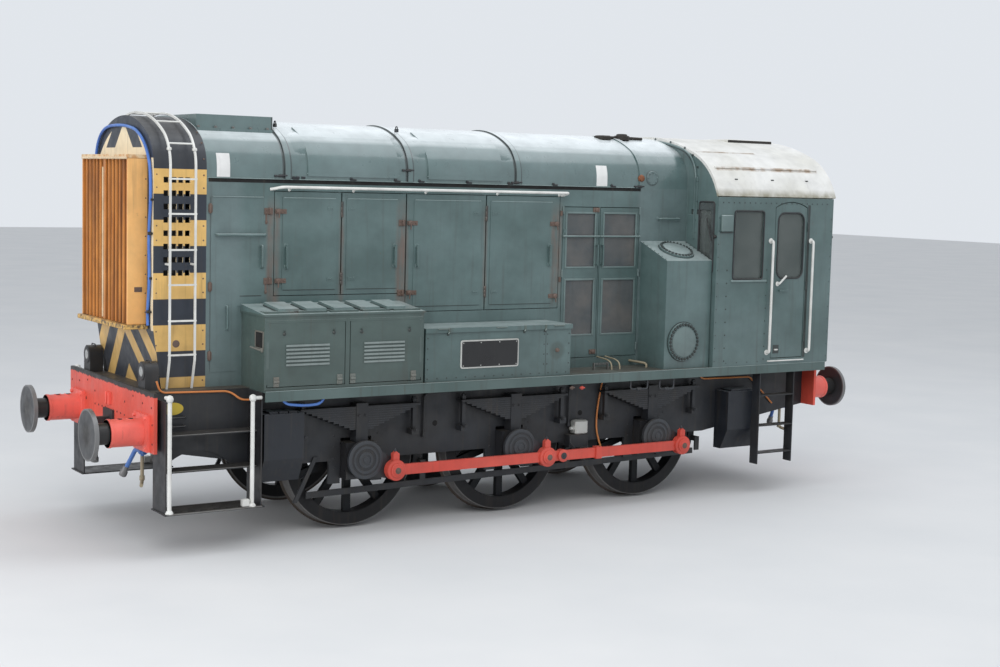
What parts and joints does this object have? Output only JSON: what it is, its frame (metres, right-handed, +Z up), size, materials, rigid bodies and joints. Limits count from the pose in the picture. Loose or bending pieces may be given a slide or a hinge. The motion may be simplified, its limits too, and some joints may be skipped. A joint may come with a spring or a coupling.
{
  "type": "diesel shunting locomotive",
  "caption": "Outside-framed diesel shunting locomotive with coupled driving wheels, a long bonnet with a radiator shutter and a rear cab.",
  "frame": {"origin": "on the centreline, midway between the buffer faces, at the level of the wheel flange tips", "axes": "+X towards the radiator end, +Y towards the left side, +Z up"},
  "size_m": [8.9154, 2.698, 3.9286],
  "materials": {
    "green_paint": "satin",
    "black_underframe": "satin",
    "signal_red": "satin",
    "white_paint": "satin",
    "orange_paint": "satin",
    "yellow_black": "satin",
    "wheel_steel": "satin",
    "grey_roof": "satin",
    "glass": "satin",
    "bare_steel": "satin",
    "cab_grey": "satin",
    "hose_blue": "satin",
    "conduit_orange": "satin"
  },
  "bodies": {
    "underframe_and_body": {"main_frame": "black_underframe", "axleboxes": "black_underframe", "leaf_springs": "black_underframe", "buffer_beams": "signal_red", "buffer_housings": "signal_red", "buffer_heads": "bare_steel", "drawgear": "black_underframe", "running_plate": "green_paint", "steps": "black_underframe", "sandboxes": "black_underframe", "brake_gear": "black_underframe", "traction_motors": "black_underframe", "bonnet_roof": "green_paint", "bonnet_sides": "green_paint", "nose_shell": "yellow_black", "radiator_core": "black_underframe", "radiator_shutter": "orange_paint", "nose_ladders": "white_paint", "handrails": "white_paint", "battery_boxes": "green_paint", "tool_boxes": "green_paint", "fuel_tanks": "green_paint", "air_pipes": "hose_blue", "conduits": "conduit_orange", "cab_body": "green_paint", "cab_roof": "grey_roof", "cab_windows": "glass", "cab_fittings": "cab_grey", "engine_block": "black_underframe", "lamps": "black_underframe"},
    "wheelset_front": {"wheels_front": "wheel_steel", "axle_front": "wheel_steel"},
    "wheelset_middle": {"wheels_middle": "wheel_steel", "axle_middle": "wheel_steel"},
    "wheelset_rear": {"wheels_rear": "wheel_steel", "axle_rear": "wheel_steel"},
    "rod_left": {"rod_left": "signal_red"},
    "rod_right": {"rod_right": "signal_red"},
    "door_1_left": {"door_1_left": "green_paint"},
    "door_2_left": {"door_2_left": "green_paint"},
    "door_3_left": {"door_3_left": "green_paint"},
    "door_4_left": {"door_4_left": "green_paint"},
    "mesh_door_1_left": {"mesh_door_1_left": "green_paint"},
    "mesh_door_2_left": {"mesh_door_2_left": "green_paint"},
    "battery_leaf_front_left": {"battery_leaf_front_left": "green_paint"},
    "battery_leaf_rear_left": {"battery_leaf_rear_left": "green_paint"},
    "tool_lid_left": {"tool_lid_left": "green_paint"},
    "cab_door_left": {"cab_door_left": "green_paint", "cab_door_glass_left": "glass"},
    "door_1_right": {"door_1_right": "green_paint"},
    "door_2_right": {"door_2_right": "green_paint"},
    "door_3_right": {"door_3_right": "green_paint"},
    "door_4_right": {"door_4_right": "green_paint"},
    "mesh_door_1_right": {"mesh_door_1_right": "green_paint"},
    "mesh_door_2_right": {"mesh_door_2_right": "green_paint"},
    "battery_leaf_front_right": {"battery_leaf_front_right": "green_paint"},
    "battery_leaf_rear_right": {"battery_leaf_rear_right": "green_paint"},
    "tool_lid_right": {"tool_lid_right": "green_paint"},
    "cab_door_right": {"cab_door_right": "green_paint", "cab_door_glass_right": "glass"}
  },
  "joints": [
    {"name": "wheelset_front_spin", "type": "hinge", "parent": "underframe_and_body", "child": "wheelset_front", "pos_m": [1.8542, 0, 0.7145], "axis": [0, 1, 0], "continuous": true},
    {"name": "wheelset_middle_spin", "type": "hinge", "parent": "underframe_and_body", "child": "wheelset_middle", "pos_m": [0.1016, 0, 0.7145], "axis": [0, 1, 0], "continuous": true},
    {"name": "wheelset_rear_spin", "type": "hinge", "parent": "underframe_and_body", "child": "wheelset_rear", "pos_m": [-1.651, 0, 0.7145], "axis": [0, 1, 0], "continuous": true},
    {"name": "rod_left_pin", "type": "hinge", "parent": "wheelset_middle", "child": "rod_left", "pos_m": [-0.18971, 1.193, 0.60559], "axis": [0, 1, 0], "continuous": true},
    {"name": "rod_right_pin", "type": "hinge", "parent": "wheelset_middle", "child": "rod_right", "pos_m": [-0.00731, -1.193, 1.00581], "axis": [0, 1, 0], "continuous": true},
    {"name": "door_1_left_hinge", "type": "hinge", "parent": "underframe_and_body", "child": "door_1_left", "pos_m": [1.953, 0.766, 2.7415], "axis": [0, 0, 1], "range_deg": [0, 85]},
    {"name": "door_2_left_hinge", "type": "hinge", "parent": "underframe_and_body", "child": "door_2_left", "pos_m": [1.953, 0.766, 2.7415], "axis": [0, 0, -1], "range_deg": [0, 85]},
    {"name": "door_3_left_hinge", "type": "hinge", "parent": "underframe_and_body", "child": "door_3_left", "pos_m": [0.327, 0.766, 2.65], "axis": [0, 0, 1], "range_deg": [0, 85]},
    {"name": "door_4_left_hinge", "type": "hinge", "parent": "underframe_and_body", "child": "door_4_left", "pos_m": [0.327, 0.766, 2.65], "axis": [0, 0, -1], "range_deg": [0, 85]},
    {"name": "mesh_door_1_left_hinge", "type": "hinge", "parent": "underframe_and_body", "child": "mesh_door_1_left", "pos_m": [-0.614, 0.766, 2.333], "axis": [0, 0, -1], "range_deg": [0, 85]},
    {"name": "mesh_door_2_left_hinge", "type": "hinge", "parent": "underframe_and_body", "child": "mesh_door_2_left", "pos_m": [-1.622, 0.766, 2.333], "axis": [0, 0, 1], "range_deg": [0, 85]},
    {"name": "battery_leaf_front_left_hinge", "type": "hinge", "parent": "underframe_and_body", "child": "battery_leaf_front_left", "pos_m": [2.549, 1.276, 1.466], "axis": [-1, 0, 0], "range_deg": [0, 88]},
    {"name": "battery_leaf_rear_left_hinge", "type": "hinge", "parent": "underframe_and_body", "child": "battery_leaf_rear_left", "pos_m": [1.7255, 1.276, 1.466], "axis": [-1, 0, 0], "range_deg": [0, 88]},
    {"name": "tool_lid_left_hinge", "type": "hinge", "parent": "underframe_and_body", "child": "tool_lid_left", "pos_m": [0.4385, 0.774, 1.962], "axis": [-1, 0, 0], "range_deg": [-80, 0]},
    {"name": "cab_door_left_hinge", "type": "hinge", "parent": "underframe_and_body", "child": "cab_door_left", "pos_m": [-3.549, 1.256, 2.3625], "axis": [0, 0, -1], "range_deg": [0, 88]},
    {"name": "door_1_right_hinge", "type": "hinge", "parent": "underframe_and_body", "child": "door_1_right", "pos_m": [1.953, -0.766, 2.7415], "axis": [0, 0, -1], "range_deg": [0, 85]},
    {"name": "door_2_right_hinge", "type": "hinge", "parent": "underframe_and_body", "child": "door_2_right", "pos_m": [1.953, -0.766, 2.7415], "axis": [0, 0, 1], "range_deg": [0, 85]},
    {"name": "door_3_right_hinge", "type": "hinge", "parent": "underframe_and_body", "child": "door_3_right", "pos_m": [0.327, -0.766, 2.65], "axis": [0, 0, -1], "range_deg": [0, 85]},
    {"name": "door_4_right_hinge", "type": "hinge", "parent": "underframe_and_body", "child": "door_4_right", "pos_m": [0.327, -0.766, 2.65], "axis": [0, 0, 1], "range_deg": [0, 85]},
    {"name": "mesh_door_1_right_hinge", "type": "hinge", "parent": "underframe_and_body", "child": "mesh_door_1_right", "pos_m": [-0.614, -0.766, 2.333], "axis": [0, 0, 1], "range_deg": [0, 85]},
    {"name": "mesh_door_2_right_hinge", "type": "hinge", "parent": "underframe_and_body", "child": "mesh_door_2_right", "pos_m": [-1.622, -0.766, 2.333], "axis": [0, 0, -1], "range_deg": [0, 85]},
    {"name": "battery_leaf_front_right_hinge", "type": "hinge", "parent": "underframe_and_body", "child": "battery_leaf_front_right", "pos_m": [2.549, -1.276, 1.466], "axis": [1, 0, 0], "range_deg": [0, 88]},
    {"name": "battery_leaf_rear_right_hinge", "type": "hinge", "parent": "underframe_and_body", "child": "battery_leaf_rear_right", "pos_m": [1.7255, -1.276, 1.466], "axis": [1, 0, 0], "range_deg": [0, 88]},
    {"name": "tool_lid_right_hinge", "type": "hinge", "parent": "underframe_and_body", "child": "tool_lid_right", "pos_m": [0.4385, -0.774, 1.962], "axis": [1, 0, 0], "range_deg": [-80, 0]},
    {"name": "cab_door_right_hinge", "type": "hinge", "parent": "underframe_and_body", "child": "cab_door_right", "pos_m": [-3.549, -1.256, 2.3625], "axis": [0, 0, 1], "range_deg": [0, 88]}
  ],
  "couplings": [
    {"joint": "wheelset_front_spin", "follows": "wheelset_middle_spin", "ratio": 1},
    {"joint": "wheelset_rear_spin", "follows": "wheelset_middle_spin", "ratio": 1},
    {"joint": "rod_left_pin", "follows": "wheelset_middle_spin", "ratio": -1},
    {"joint": "rod_right_pin", "follows": "wheelset_middle_spin", "ratio": -1}
  ]
}
